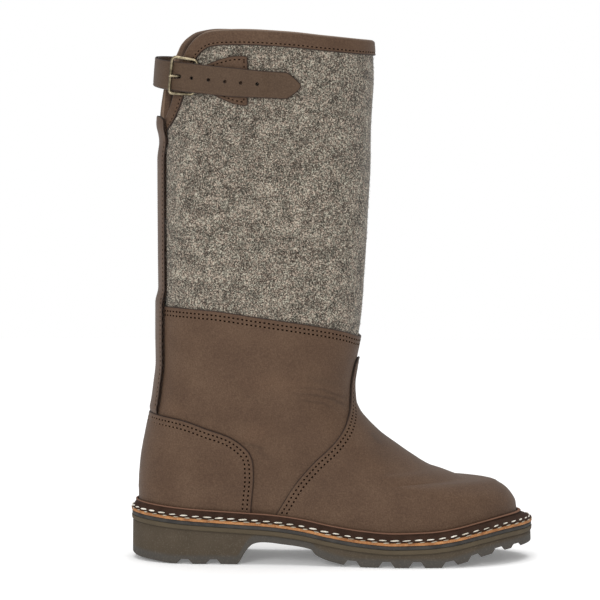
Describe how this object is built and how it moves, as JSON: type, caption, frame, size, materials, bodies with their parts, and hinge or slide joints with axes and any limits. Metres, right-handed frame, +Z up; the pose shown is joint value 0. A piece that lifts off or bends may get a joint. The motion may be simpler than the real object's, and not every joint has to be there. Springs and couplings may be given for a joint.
{
  "type": "winter boot",
  "caption": "Tall winter boot: brown leather foot with welted lugged rubber sole, grey felt shaft bound in leather, and a buckled strap across the rear notch.",
  "frame": {"origin": "on the floor under the middle of the sole", "axes": "+X to the toe, +Y to the inner side of the foot, +Z up"},
  "size_m": [0.3076, 0.1122, 0.4054],
  "materials": {
    "brown_leather": "matt, buffed",
    "welt_leather": "waxed",
    "tan_leather": "plain",
    "grey_felt": "wool felt, mottled",
    "outsole_rubber": "moulded, matt",
    "layer_rubber": "matt",
    "old_brass": "aged"
  },
  "bodies": {
    "root": {"outsole": "outsole_rubber", "rubber_midsole": "layer_rubber", "midsole": "tan_leather", "welt": "welt_leather", "insole": "tan_leather", "upper": "brown_leather", "shaft": "grey_felt", "vamp": "brown_leather", "heel_counter": "brown_leather", "back_stay": "brown_leather", "top_binding": "brown_leather", "buckle_patch": "brown_leather", "strap": "brown_leather", "buckle_frame": "old_brass", "buckle_prong": "old_brass"}
  },
  "joints": []
}
